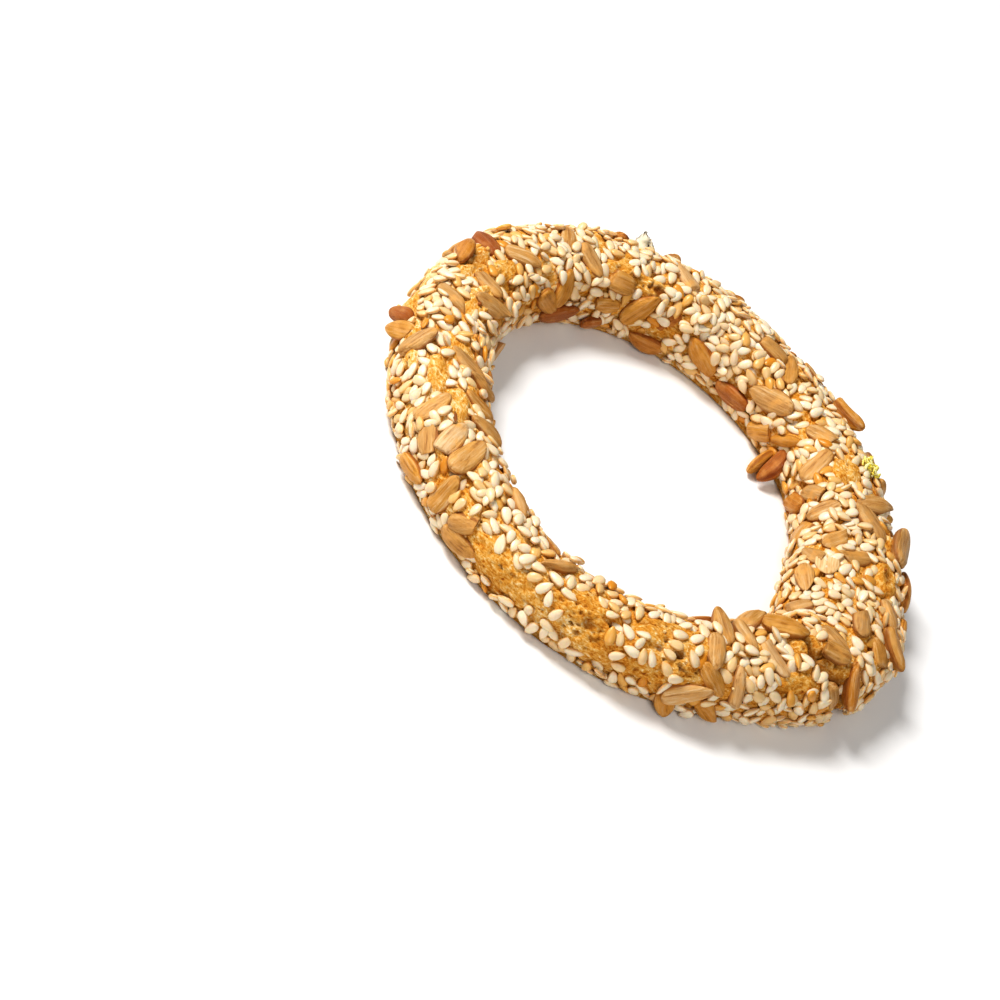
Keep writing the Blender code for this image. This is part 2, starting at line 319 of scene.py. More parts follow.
def mesh_object(name, points, faces, attributes, material):
    """A smooth-shaded object at the origin from points, faces and named values at its points."""
    mesh = bpy.data.meshes.new(name)
    mesh.from_pydata(points.tolist(), [], faces)
    for label, values in attributes.items():
        kind = "FLOAT_VECTOR" if values.ndim == 2 else "FLOAT"
        layer = mesh.attributes.new(label, kind, "POINT")
        field = "vector" if values.ndim == 2 else "value"
        layer.data.foreach_set(field, values.ravel().astype(np.float32))
    mesh.shade_smooth()
    mesh.materials.append(material)
    made = bpy.data.objects.new(name, mesh)
    bpy.context.scene.collection.objects.link(made)
    return made


def rope_faces(rings, rows):
    """Quads of a grid that closes on itself both ways."""
    i, j = np.meshgrid(np.arange(rings), np.arange(rows), indexing="ij")
    a = i * rows + j
    b = (i + 1) % rings * rows + j
    c = (i + 1) % rings * rows + (j + 1) % rows
    d = i * rows + (j + 1) % rows
    return np.stack([a, b, c, d], -1).reshape(-1, 4).tolist()


def baked_crust():
    """Yeast crust, baked: matt and golden, with a lacy skin, drawn out along the rope, whose pale webs
    stand round browner hollows 2 mm across, and open pores 0.4 mm wide. Its grain, 0.1 mm in the real
    crust, is drawn four times as coarse so that it shows. Painted shade darkens it towards deep brown
    in its crease, pits and pores, and the tray browned its base a little."""
    material = new_material("baked_crust")
    place = carried(material, "drawn_out", "Vector")
    grain = node(
        material, "ShaderNodeTexNoise",
        {"Scale": 2200.0, "Detail": 6.0, "Roughness": 0.68, "Distortion": 0.3}, {"Vector": place},
    ).outputs["Fac"]
    broad = node(
        material, "ShaderNodeTexNoise",
        {"Scale": 130.0, "Detail": 3.0, "Roughness": 0.55}, {"Vector": place},
    ).outputs["Fac"]
    drift = node(
        material, "ShaderNodeTexNoise", {"Scale": 520.0, "Detail": 3.0}, {"Vector": place}
    ).outputs["Color"]
    drifted = node(
        material, "ShaderNodeVectorMath", {"operation": "MULTIPLY_ADD", 1: (0.0022, 0.0022, 0.0022)},
        {0: drift, 2: place},
    ).outputs[0]
    to_web = node(
        material, "ShaderNodeTexVoronoi",
        {"feature": "DISTANCE_TO_EDGE", "Scale": 460.0}, {"Vector": drifted},
    ).outputs["Distance"]
    web = node(
        material, "ShaderNodeMapRange", {"From Min": 0.0, "From Max": 0.16, "To Min": 1.0, "To Max": 0.0},
        {"Value": to_web},
    ).outputs[0]
    to_pore = node(
        material, "ShaderNodeTexVoronoi", {"Scale": 950.0}, {"Vector": drifted}
    ).outputs["Distance"]
    pore = node(
        material, "ShaderNodeMapRange", {"From Min": 0.12, "From Max": 0.27, "To Min": 1.0, "To Max": 0.0},
        {"Value": to_pore},
    ).outputs[0]
    laced = added(material, web, 0.10, grain)
    height = added(material, pore, -0.15, laced)
    varied = added(material, broad, 0.4, height)
    pale_side = carried(material, "pale_side")
    tone = added(material, pale_side, 0.02, varied)
    skin = ramp(material, tone, (
        (0.45, "#925010"), (0.57, "#C27C24"), (0.69, "#DA9E42"), (0.81, "#E8BC72"), (0.92, "#F6E0B6"),
    ))
    # Painted shade: the crease, pits and pores are darkened towards deep brown; the base's share is the
    # tray's real browning
    carried_shade_and_browning = carried(material, "hollow")
    shade_and_browning_mix = node(
        material, "ShaderNodeMath", {"operation": "MULTIPLY", 1: 0.85}, {0: carried_shade_and_browning}
    ).outputs[0]
    colour = tinted(material, shade_and_browning_mix, skin, "#7A3E0A")
    rough = bumped(material, height, 1.0, 0.00036)
    return surfaced(
        material, {"Roughness": 0.68, "Specular IOR Level": 0.22, "IOR": 1.45},
        {"Base Color": colour, "Normal": rough},
    )


# The crust's place on a ring of a smaller radius, so that what is drawn there comes out longer
DRAWN_OUT = 1.7
middle_radius = along(ring_grid, RING_RADIUS, BOWS)
round_ring = np.stack([np.cos(ring_grid), np.sin(ring_grid), 0 * ring_grid], -1)
middle_line = middle_radius[..., None] * round_ring
drawn_out = crust - (1 - 1 / DRAWN_OUT) * middle_line
# The crust is paler towards one side of the ring: the cosine of the distance round the ring from there
PALEST_AT = 185.0
pale_side = np.cos(ring_grid - math.radians(PALEST_AT))
# The dough carries the painted shade of its crease, pits and pores and the browning of its base as one
# value
dough = mesh_object(
    "dough", crust.reshape(-1, 3), rope_faces(STEPS_ROUND_RING, len(row_angles)),
    {"hollow": np.where(is_base, BASE_BROWNING, hollow).ravel(), "drawn_out": drawn_out.reshape(-1, 3),
     "pale_side": pale_side.ravel()},
    baked_crust(),
)
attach(dough, "root")
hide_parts("bread_ring")

# Sunflower kernels
# Hulled sunflower kernels that the rope was rolled in: flattened drops 7 to 11 mm long with
# fine lengthwise grooves, some lying on edge, some broken, toasted tan, golden or brown.

# The length, width and thickness of each kind, and the share of the length where a broken one ends
KERNEL_KINDS = {
    "large": (10.4 * MM, 5.4 * MM, 3.1 * MM, 1.0),
    "whole": (8.9 * MM, 4.6 * MM, 2.8 * MM, 1.0),
    "on_edge": (9.2 * MM, 2.9 * MM, 4.4 * MM, 1.0),
    "long": (11.0 * MM, 3.0 * MM, 4.4 * MM, 1.0),
    "small": (6.6 * MM, 4.3 * MM, 2.5 * MM, 1.0),
    "broken": (8.6 * MM, 4.6 * MM, 2.8 * MM, 0.7),
}
# The kernels that show most: ring angle, rope angle, turn from the rope's own direction, lean out of the
# crust, and skin from 0, pale tan, over 0.4, grey brown, and 0.6, golden brown, to 1, reddish brown
SHOWN = {
    "large": (
        (233, 64, 125, 0, 0.1), (238, 77, 118, 0, 0.3), (209, 104, 235, 0, 0.45),
        (184, 117, 293, 0, 0.4), (74, 149, 24, 0, 0.4), (98, 176, 331, 0, 0.62), (30, 85, 32, 0, 0.45),
        (27, 45, 347, 12, 0.4), (122, 162, 238, 0, 0.62), (148, 182, 195, 4, 0.9), (306, 7, 32, 0, 0.28),
        (332, 109, 332, 0, 0.58),
    ),
    "whole": (
        (60.6, 195, 180, 72, 0.6), (36, 76, 276, 14, 0.42), (200, 9, 234, 26, 0.6),
        (166, 54, 250, 14, 0.95), (314, 114, 93, 24, 0.5), (4, 60, 215, 4, 0.42), (16, 97, 297, 0, 0.4),
        (2, 144, 195, 0, 0.3), (49, 137, 301, 0, 0.3), (78, 93, 304, 0, 0.5), (85, 95, 9, 6, 0.5),
        (84, 183, 5, 0, 0.85), (112, 174, 68, 0, 0.82), (112, 88, 315, 0, 0.1), (114, 196, 351, 6, 0.7),
        (162, 94, 134, 0, 0.3), (178, 94, 259, 0, 0.35), (144, 77, 243, 4, 0.5),
        (140, 108, 107, 4, 0.42), (150, 150, 251, 0, 0.6), (156, 166, 138, 0, 0.55),
        (174, 52, 186, 8, 0.7), (206, 41, 116, 4, 0.4), (221, 119, 247, 0, 0.5),
        (230, 117, 239, 0, 0.45), (224, 52, 117, 0, 0.25), (234, 354, 13, 0, 0.6),
        (243, 16, 97, 0, 0.58), (252, 356, 12, 0, 0.55), (310, 37, 318, 0, 0.54),
        (310, 78, 261, 0, 0.28), (326, 80, 292, 0, 0.15), (345, 87, 276, 0, 0.45),
    ),
    "on_edge": (
        (56, 188, 127, 52, 0.82), (62, 171, 48, 0, 0.6), (190, 77, 57, 0, 0.45), (62, 62, 198, 8, 0.58),
        (252, 115, 336, 0, 0.4), (270, 90, 48, 0, 0.3), (320, 101, 278, 0, 0.4), (316, 31, 98, 0, 0.14),
        (358, 41, 247, 10, 0.55), (214, 128, 260, 0, 0.5),
    ),
    "long": ((344, 38, 84, 4, 0.68),),
    "small": (
        (303.5, 347, 300, 40, 0.66), (312.5, 355, 330, 16, 0.62), (195, 6, 230, 36, 0.92),
        (134, 192, 346, 20, 0.85),
    ),
    "broken": (
        (324, 133, 20, 20, 0.5), (40, 159, 227, 0, 0.45), (31, 143, 296, 0, 0.38),
        (58, 115, 221, 0, 0.35), (250, 13, 45, 0, 0.5), (354, 85, 28, 0, 0.4), (342, 77, 143, 0, 0.45),
        (340, 20, 116, 0, 0.45), (19, 120, 315, 0, 0.35), (130, 134, 352, 0, 0.55),
        (132, 170, 8, 0, 0.6), (346, 148, 295, 0, 0.4), (232, 27, 157, 0, 0.3), (40, 182, 34, 0, 0.7),
        (25, 176, 301, 0, 0.6), (354, 56, 236, 0, 0.5), (14, 145, 225, 0, 0.4), (70, 186, 225, 0, 0.6),
    ),
}
# The rest are drawn only on the sides that a view from this far above the ring's near side doesn't show:
# where the crust's normal, taken towards that view, is below a share of its length
VIEW_RISE = math.radians(37.0)
TURNED_AWAY = -0.12
KERNEL_COUNT = 165
KERNEL_TRIES = 9000
# The rope angles between which they are drawn
KERNEL_ROWS = (-36, 216)
KINDS_DRAWN = ("large", "whole", "whole", "whole", "on_edge", "broken")
# Shares of a seed's thickness and length by which it stands off the crust
SEED_PROUD = 0.34
SEED_SINK = 0.42
LEAN_LIFT = 0.3
# The gap between kernels, their balls' share of the breadth, and how far off two seeds never touch
SEED_GAP = 0.35 * MM
BALL_SHARE = 0.46
BALLS_APART = 9 * MM
# All places are kept above this share of the largest area, and none above this bareness
FULL_SHARE, BARE_LIMIT = 0.8, 0.3
LOWEST_SEED = 0.1 * MM
HIGHEST_SEED = 18.3 * MM


def crust_height(ring, rope):
    """How far the crust stands off the smooth rope at places in degrees, weighed from the four nearest
    points of the grid by how near they are."""
    i = ring / 360 * STEPS_ROUND_RING
    dome_angle = BASE_TO + 360 - BASE_FROM
    j = np.clip((rope - BASE_FROM) / dome_angle * STEPS_ROUND_DOME, 0, STEPS_ROUND_DOME - 1.001)
    i0, j0 = np.floor(i).astype(int), np.floor(j).astype(int)
    fi, fj = i - i0, j - j0
    i0, i1 = i0 % STEPS_ROUND_RING, (i0 + 1) % STEPS_ROUND_RING
    near = relief[i0, j0] * (1 - fj) + relief[i0, j0 + 1] * fj
    far = relief[i1, j0] * (1 - fj) + relief[i1, j0 + 1] * fj
    return near * (1 - fi) + far * fi


def seed_axes(ring, rope, turn, lean):
    """Point and normal of the smooth rope, and each seed's axes there as columns, from angles in degrees:
    its length is turned from the rope's direction about the normal, then tilted up towards it."""
    point, forward, round_rope, normal = rope_frame(np.radians(ring), np.radians(rope))
    spin, tilt = np.radians(turn)[:, None], np.radians(lean)[:, None]
    flat = forward * np.cos(spin) + round_rope * np.sin(spin)
    axis = flat * np.cos(tilt) + normal * np.sin(tilt)
    width = np.cross(normal, flat)
    return point, normal, np.stack([axis, width, np.cross(axis, width)], -1)


def seed_lift(turn, lean, length, thickness):
    """How far a seed's middle stands off the crust: its thickness times a share that falls with the sine
    of its turn, plus its length times a share of the sine of its lean."""
    sunk = thickness * (SEED_PROUD - SEED_SINK * np.abs(np.sin(np.radians(turn))))
    return sunk + np.abs(np.sin(np.radians(lean))) * length * LEAN_LIFT


def balls_along(centre, axis, length, breadth):
    """Three balls along each seed, by which its distance from other seeds is told: one row a seed."""
    ball = breadth * BALL_SHARE
    reach = np.maximum(length / 2 - ball, 0)
    ends = np.array([-1.0, 0.0, 1.0])
    middles = centre[:, None] + axis[:, None] * (reach[:, None] * ends)[..., None]
    return np.concatenate([middles, np.broadcast_to(ball[:, None, None], (len(centre), 3, 1))], -1)


def keep_clear(candidates, taken, count, gap):
    """Goes through candidates' balls in order and keeps each one that stays a gap clear of all balls
    taken so far. Gives the numbers of those kept and all the balls that are then taken."""
    balls = np.zeros((len(taken) + 3 * count, 4))
    balls[: len(taken)] = taken
    used = len(taken)
    kept = []
    for number, mine in enumerate(candidates):
        near = balls[:used][np.abs(balls[:used, 0] - mine[1, 0]) < BALLS_APART]
        apart = ((mine[:, None, :3] - near[None, :, :3]) ** 2).sum(-1)
        if (apart < (mine[:, None, 3] + near[None, :, 3] + gap) ** 2).any():
            continue
        balls[used : used + 3] = mine
        used += 3
        kept.append(number)
        if len(kept) == count:
            break
    return np.array(kept, int), balls[:used]


def places(draw, count, rope_from, rope_to, thin):
    """Ring and rope angles in degrees, drawn evenly over the crust's area, then thinned on its bare
    patches and at the crease, the more the greater thin is."""
    ring, rope = draw.uniform(0, 360, count), draw.uniform(rope_from, rope_to, count)
    step = 0.01
    angles = np.radians(ring), np.radians(rope)
    long = np.linalg.norm(rope_point(angles[0] + step, angles[1]) - rope_point(*angles), axis=-1)
    high = np.linalg.norm(rope_point(angles[0], angles[1] + step) - rope_point(*angles), axis=-1)
    area = long * high
    kept = draw.uniform(0, area.max() * FULL_SHARE, count) < area
    kept &= bareness(ring, rope) * thin < draw.uniform(0, BARE_LIMIT, count)
    kept &= np.abs(from_crease(ring, rope)) > CREASE_WIDTH * thin
    return ring[kept], rope[kept]


def seed_faces(seeds, rings, sides):
    """Faces of many closed drops, each a stack of rings with a point at both ends."""
    each = rings * sides + 2
    i, j = np.meshgrid(np.arange(rings - 1), np.arange(sides), indexing="ij")
    a, b = i * sides + j, i * sides + (j + 1) % sides
    quads = np.stack([a, b, b + sides, a + sides], -1).reshape(-1, 4)
    side = np.arange(sides)
    last = (rings - 1) * sides
    start = np.stack([np.full(sides, each - 2), (side + 1) % sides, side], -1)
    end = np.stack([np.full(sides, each - 1), last + side, last + (side + 1) % sides], -1)
    shift = (np.arange(seeds) * each)[:, None, None]
    parts = [(faces[None] + shift).reshape(-1, faces.shape[1]).tolist() for faces in (quads, start, end)]
    return parts[0] + parts[1] + parts[2]


def drops(length, width, thickness, rings, sides, blunt, taper, across_power, up_power):
    """Drops that lie along X, as rings of points and two end points: at the share t of the length each
    ring is an oval whose half width is t to the power blunt times 1 - t to the power taper, made 1 at
    its widest, and whose height does the same a little fuller. The oval is the cosine and sine of an
    angle, each to a power: a power below 1 fills the oval out, and a greater one upwards makes its rim
    keen."""
    t = 0.5 - 0.5 * np.cos(np.linspace(0, math.pi, rings + 2)[1:-1])
    widest = blunt / (blunt + taper)
    full = t**blunt * (1 - t) ** taper / (widest**blunt * (1 - widest) ** taper)
    thick = full**0.85
    angle = np.linspace(0, 2 * math.pi, sides, endpoint=False)
    across = np.sign(np.cos(angle)) * np.abs(np.cos(angle)) ** across_power
    up = np.sign(np.sin(angle)) * np.abs(np.sin(angle)) ** up_power
    shape = np.zeros((len(length), rings * sides + 2, 3))
    shape[:, :-2, 0] = np.repeat(t - 0.5, sides)
    shape[:, :-2, 1] = (full[:, None] * across).ravel() / 2
    shape[:, :-2, 2] = (thick[:, None] * up).ravel() / 2
    shape[:, -2, 0], shape[:, -1, 0] = -0.5, 0.5
    return shape * np.stack([length, width, thickness], -1)[:, None]


def shave(points, normal, distance):
    """Cuts each seed flat along a plane: points past a distance along its normal move back onto it."""
    past = np.maximum((points * normal[:, None]).sum(-1) - distance[:, None], 0)
    return points - past[..., None] * normal[:, None]


def set_down(own, centre, axes):
    """Turns seeds into their axes and moves them to their centres, no lower than the table lets them lie
    and no higher than the ring stands."""
    placed = np.einsum("sij,spj->spi", axes, own) + centre[:, None]
    low, high = placed[..., 2].min(1), placed[..., 2].max(1)
    placed[..., 2] += (np.maximum(LOWEST_SEED - low, 0) - np.maximum(high - HIGHEST_SEED, 0))[:, None]
    return placed


draw = np.random.default_rng(41)
kind_names = list(KERNEL_KINDS)
size_table = np.array(list(KERNEL_KINDS.values()))
kernels = np.array(
    [(*row, kind_names.index(kind)) for kind, rows in SHOWN.items() for row in rows], float
)
ring, rope = places(draw, KERNEL_TRIES, *KERNEL_ROWS, 1.0)
turn, lean = draw.uniform(0, 360, len(ring)), draw.uniform(-7, 7, len(ring))
toast = draw.uniform(0.15, 0.75, len(ring))
kind = [kind_names.index(KINDS_DRAWN[k]) for k in draw.integers(len(KINDS_DRAWN), size=len(ring))]
spare = np.stack([ring, rope, turn, lean, toast, kind], -1)


def kernel_setting(rows):
    """Centres, axes and sizes of kernels from their table rows."""
    length, width, thickness, left = size_table[rows[:, 5].astype(int)].T
    point, normal, axes = seed_axes(*rows[:, :4].T)
    lift = seed_lift(rows[:, 2], rows[:, 3], length, thickness)
    return point + normal * lift[:, None], normal, axes, length, width, thickness, left


centre, normal, axes, length, width, thickness, _ = kernel_setting(kernels)
taken = balls_along(centre, axes[..., 0], length, np.maximum(width, thickness)).reshape(-1, 4)
centre, normal, axes, length, width, thickness, _ = kernel_setting(spare)
half_height = 0.45 * (np.abs(axes[:, 2]) * np.stack([length, width, thickness], -1)).sum(-1)
clear = centre[:, 2] - half_height > LOWEST_SEED
clear &= normal @ (0, -math.cos(VIEW_RISE), math.sin(VIEW_RISE)) < TURNED_AWAY
spare, centre, axes, length = spare[clear], centre[clear], axes[clear], length[clear]
breadth = np.maximum(width, thickness)[clear]
kept, taken = keep_clear(
    balls_along(centre, axes[..., 0], length, breadth), taken, KERNEL_COUNT - len(kernels), SEED_GAP
)
kernels = np.concatenate([kernels, spare[kept]])

KERNEL_RINGS, KERNEL_SIDES = 15, 16
# A kernel's blunt and taper powers, and its oval's powers across and up
KERNEL_FORM = (0.42, 0.58, 0.85, 1.1)
centre, normal, axes, length, width, thickness, left = kernel_setting(kernels)
centre = centre + normal * crust_height(kernels[:, 0], kernels[:, 1])[:, None]
count = len(kernels)
whole = np.ones(count)
grow = draw.uniform(0.9, 1.06, (count, 1)) * np.stack([whole, draw.uniform(0.9, 1.08, count), whole], -1)
kernel_own = drops(length, width, thickness, KERNEL_RINGS, KERNEL_SIDES, *KERNEL_FORM) * grow[:, None]
# Three soft ridges along each kernel, and a slow swelling and thinning from end to end
angle = np.arctan2(kernel_own[..., 2], kernel_own[..., 1])
ridges = 1 + 0.04 * np.cos(3 * angle + draw.uniform(0, 6.3, (count, 1)))
swelling = kernel_own[..., 0] / length[:, None] * draw.uniform(5, 11, (count, 1))
ridges += 0.035 * np.cos(swelling + draw.uniform(0, 6.3, (count, 1)))
kernel_own[..., 1:] *= ridges[..., None]
# Each is shaved on a stray side, worn flat on its face, snapped or blunt at its tip, and a little bent
stray = unit(draw.normal(size=(count, 3)) * (1.0, 0.8, 0.5))
reach = np.abs(stray * np.stack([length, width, thickness], -1) / 2).max(-1)
kernel_own = shave(kernel_own, stray, reach * draw.uniform(0.62, 1.1, count))
worn = unit(np.stack([draw.uniform(-0.12, 0.12, count), draw.uniform(-0.45, 0.45, count), whole], -1))
kernel_own = shave(kernel_own, worn, thickness * draw.uniform(0.33, 0.48, count))
snapped = unit(np.stack([whole, draw.uniform(-0.7, 0.7, count), draw.uniform(-0.5, 0.5, count)], -1))
tip_lost = np.where(left == 1, draw.uniform(0, 0.09, count), 0)
kernel_own = shave(kernel_own, snapped, (left - 0.5) * length - tip_lost * length)
kernel_own[..., 0] += ((1 - left) / 2 * length)[:, None]
bend = draw.uniform(-0.05, 0.08, (count, 1)) * length[:, None]
bent = bend * (kernel_own[..., 0] / length[:, None] * 2) ** 2
across, up = kernel_own[..., 1] / width[:, None], kernel_own[..., 2] / thickness[:, None]
rim = np.cos(np.arctan2(up, across)) ** 2
kernel_own[..., 2] += bent
kernel_points = set_down(kernel_own, centre, axes)
flayed = np.repeat(0.4 + 0.6 * draw.uniform(0, 1, count) ** 2, kernel_own.shape[1])
toasting = np.repeat(kernels[:, 4] + draw.uniform(-0.05, 0.05, count), kernel_own.shape[1])


def toasted_kernel():
    """Sunflower kernel, toasted: a waxy skin, tan to brown from one kernel to the next, darker at its
    rim and worn pale in patches, with soft dark fibres along its length about 0.6 mm apart, and pale
    ones where the skin is flayed. The more toasted it is, the less pale shows."""
    material = new_material("toasted_kernel")
    own = carried(material, "own", "Vector")
    toast = carried(material, "toasting")
    at_rim = carried(material, "rim")
    stretched = node(
        material, "ShaderNodeMapping", {"Scale": (110.0, 1700.0, 1700.0)}, {"Vector": own}
    ).outputs[0]
    fibres = node(
        material, "ShaderNodeTexNoise",
        {"Scale": 1.0, "Detail": 6.0, "Roughness": 0.74}, {"Vector": stretched},
    ).outputs["Fac"]
    patches = node(
        material, "ShaderNodeTexNoise", {"Scale": 380.0, "Detail": 3.0}, {"Vector": own}
    ).outputs["Fac"]
    skin = ramp(material, toast, (
        (0.0, "#DFC29A"), (0.25, "#D8A764"), (0.42, "#C4985C"), (0.6, "#D09434"), (0.78, "#B66E1A"),
        (1.0, "#9E5412"),
    ))
    untoasted = node(
        material, "ShaderNodeMath", {"operation": "MULTIPLY_ADD", 1: -0.75, 2: 1.0}, {0: toast}
    ).outputs[0]
    bared = carried(material, "flayed")
    most = node(material, "ShaderNodeMath", {"operation": "MULTIPLY"}, {0: untoasted, 1: bared}).outputs[0]
    pale = node(
        material, "ShaderNodeMapRange",
        {"From Min": 0.50, "From Max": 0.64}, {"Value": fibres, "To Max": most},
    ).outputs[0]
    dark = node(
        material, "ShaderNodeMapRange",
        {"From Min": 0.47, "From Max": 0.34, "To Max": 0.7}, {"Value": fibres},
    ).outputs[0]
    edge = ramp(material, at_rim, (
        (0.0, "#F0E6D8"), (0.4, "#FFFFFF"), (0.8, "#FFFFFF"), (0.92, "#CFA878"), (1.0, "#A87848"),
    ))
    worn_patch = node(
        material, "ShaderNodeMapRange",
        {"From Min": 0.5, "From Max": 0.68}, {"Value": patches, "To Max": untoasted},
    ).outputs[0]
    with_pale = tinted(material, pale, skin, "#EED6B0")
    with_dark = tinted(material, dark, with_pale, "#905410")
    with_worn = tinted(material, worn_patch, with_dark, "#E6B064")
    colour = node(
        material, "ShaderNodeMix",
        {"data_type": "RGBA", "blend_type": "MULTIPLY", 0: 0.7}, {6: with_worn, 7: edge},
    ).outputs[2]
    grooves = bumped(material, fibres, 1.0, 0.0004)
    return surfaced(
        material, {"Roughness": 0.34, "Specular IOR Level": 0.5, "IOR": 1.47},
        {"Base Color": colour, "Normal": grooves},
    )


own_place = kernel_own + draw.uniform(0, 900, (count, 1, 3)) * MM
sunflower_kernels = mesh_object(
    "sunflower_kernels", kernel_points.reshape(-1, 3), seed_faces(count, KERNEL_RINGS, KERNEL_SIDES),
    {"own": own_place.reshape(-1, 3), "toasting": toasting, "rim": rim.ravel(), "flayed": flayed},
    toasted_kernel(),
)
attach(sunflower_kernels, "root")
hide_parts("bread_ring")

# Sesame seeds
# Hulled sesame that covers most of the crust between the kernels: flat cream drops about
# 3.4 mm long, crowded and here and there piled on each other, a few of them toasted golden.

SESAME_SIZE = (3.55 * MM, 2.2 * MM, 1.1 * MM)
SESAME_RINGS, SESAME_SIDES = 6, 8
# A seed's blunt and taper powers, and its oval's powers across and up
SESAME_FORM = (0.45, 0.74, 0.9, 0.7)
SESAME_ROWS = (-38, 218)
# The layer on the crust and the seeds piled on it: places tried, seeds wanted, the gap between their
# balls, lifts in shares of the thickness, lean in degrees, and how strongly a bare patch thins them
SESAME_LAYERS = (
    (60000, 1620, -0.88 * MM, (0.2, 0.6), 11, 1.0),
    (14000, 380, -1.2 * MM, (0.7, 1.0), 14, 2.5),
)
# The seeds that stand alone on the barest patch: ring angle, rope angle and turn from the rope's line
SESAME_SHOWN = (
    (272.5, 37, 114), (275.5, 24, 69), (270.5, 46, 61), (274, 81, 102), (282, 83, 144), (284.5, 83, 163),
    (285, 73, 20), (288, 85, 134), (284, 114, 46), (285.5, 99, 33), (286.5, 44, 101), (287.5, 62, 156),
    (288.5, 47, 107), (289.5, 64, 140), (292.5, 55, 61), (289.5, 22, 33), (291, 6, 179),
    (291.5, 38, 174), (294, 38, 104), (296, 40, 118), (299, 56, 158), (300, 72, 173), (301, 85, 8),
    (305.5, 88, 28), (305.5, 73, 58), (308, 101, 91), (306.5, 61, 65), (299.5, 34, 141), (302, 25, 7),
    (312.5, 73, 76), (314, 66, 62), (312.5, 48, 139), (316.5, 58, 155), (318.5, 39, 126),
    (319.5, 21, 139), (298, 350, 166), (302, 343, 80), (276.5, 354, 176), (277, 88, 45), (313, 93, 8),
    (317.5, 98, 98),
)


def sesame_setting(draw, ring, rope, turn, lifts, leans):
    """Centres, axes and sizes of sesame at places in degrees, lifted off the crust by lifts in shares of
    its thickness and tilted at random by about leans in degrees."""
    number = len(ring)
    size = draw.uniform(0.84, 1.08, (number, 1)) * np.array(SESAME_SIZE)
    size = size * draw.uniform(0.92, 1.08, (number, 3))
    lean = draw.normal(0, leans, number)
    point, normal, axes = seed_axes(ring, rope, turn, lean)
    roll = np.radians(draw.normal(0, leans * 1.3, number))[:, None]
    wide = axes[..., 1] * np.cos(roll) + axes[..., 2] * np.sin(roll)
    axes = np.stack([axes[..., 0], wide, np.cross(axes[..., 0], wide)], -1)
    lift = size[:, 2] * draw.uniform(*lifts, number)
    centre = point + normal * (lift + crust_height(ring, rope))[:, None]
    return centre, axes, size


def sesame_balls(centre, axes, size):
    """The balls along each sesame seed."""
    return balls_along(centre, axes[..., 0], size[:, 0], size[:, 1])


shown = sesame_setting(draw, *np.array(SESAME_SHOWN, float).T, (0.2, 0.4), 4)
taken = np.concatenate([taken, sesame_balls(*shown).reshape(-1, 4)])
layers = [shown]
for tries, count, gap, lifts, leans, thin in SESAME_LAYERS:
    ring, rope = places(draw, tries, *SESAME_ROWS, thin)
    drawn = sesame_setting(draw, ring, rope, draw.uniform(0, 360, len(ring)), lifts, leans)
    kept, taken = keep_clear(sesame_balls(*drawn), taken, count, gap)
    layers.append([part[kept] for part in drawn])
centre, axes, size = (np.concatenate(part) for part in zip(*layers))
count = len(centre)
sesame_own = drops(*size.T, SESAME_RINGS, SESAME_SIDES, *SESAME_FORM)
sesame_points = set_down(sesame_own, centre, axes)
# Where on its rim each point of a seed lies, for the painted shade there
sesame_rim = np.cos(np.arctan2(sesame_own[..., 2] / size[:, 2:], sesame_own[..., 1] / size[:, 1:2])) ** 2
sesame_tone = np.repeat(draw.uniform(0, 1, count), sesame_own.shape[1])
towards_tip = (sesame_own[..., 0] / size[:, :1] + 0.5).ravel()


def hulled_sesame():
    """Sesame seed, hulled: a smooth, waxy, slightly translucent cream skin, golden at its tip, with a
    golden painted shade round its rim.
    """
    material = new_material("hulled_sesame")
    own = carried(material, "own", "Vector")
    tone = carried(material, "tone")
    lengthwise = carried(material, "towards_tip")
    skin = ramp(material, tone, (
        (0.0, "#E8D9BF"), (0.6, "#E5CFAC"), (0.87, "#E0C08E"), (0.96, "#DAA95C"), (1.0, "#D08E30"),
    ))
    at_rim = carried(material, "rim")
    # Painted shade: the rim, where the seed turns away from the light, is tinted golden
    edge = node(
        material, "ShaderNodeMapRange",
        {"From Min": 0.45, "From Max": 1.0, "To Max": 0.8}, {"Value": at_rim},
    ).outputs[0]
    tip = node(
        material, "ShaderNodeMapRange",
        {"From Min": 0.7, "From Max": 1.0, "To Max": 0.5}, {"Value": lengthwise},
    ).outputs[0]
    # This mixes the painted rim shade with the tip's own golden colour
    thin = node(material, "ShaderNodeMath", {"operation": "MAXIMUM"}, {0: edge, 1: tip}).outputs[0]
    colour = tinted(material, thin, skin, "#D69C40")
    mottle = node(
        material, "ShaderNodeTexNoise", {"Scale": 1500.0, "Detail": 2.0}, {"Vector": own}
    ).outputs["Fac"]
    fine = bumped(material, mottle, 0.3, 0.0002)
    return surfaced(
        material,
        {"Roughness": 0.33, "Specular IOR Level": 0.5, "IOR": 1.47, "Subsurface Weight": 0.3,
         "Subsurface Radius": (1.0, 0.62, 0.25), "Subsurface Scale": 0.0005},
        {"Base Color": colour, "Normal": fine},
    )


sesame_seeds = mesh_object(
    "sesame_seeds", sesame_points.reshape(-1, 3), seed_faces(count, SESAME_RINGS, SESAME_SIDES),
    {"own": sesame_own.reshape(-1, 3), "tone": sesame_tone, "towards_tip": towards_tip,
     "rim": sesame_rim.ravel()},
    hulled_sesame(),
)
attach(sesame_seeds, "root")
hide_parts("bread_ring")

# Hull shreds, crumbs and flake
# What fell into the seed mix: one pale flattened flake with a groove, papery shreds of brown
# hull and seed skin, and crumbs of dough, seed and one tuft of bright yellow crumb.

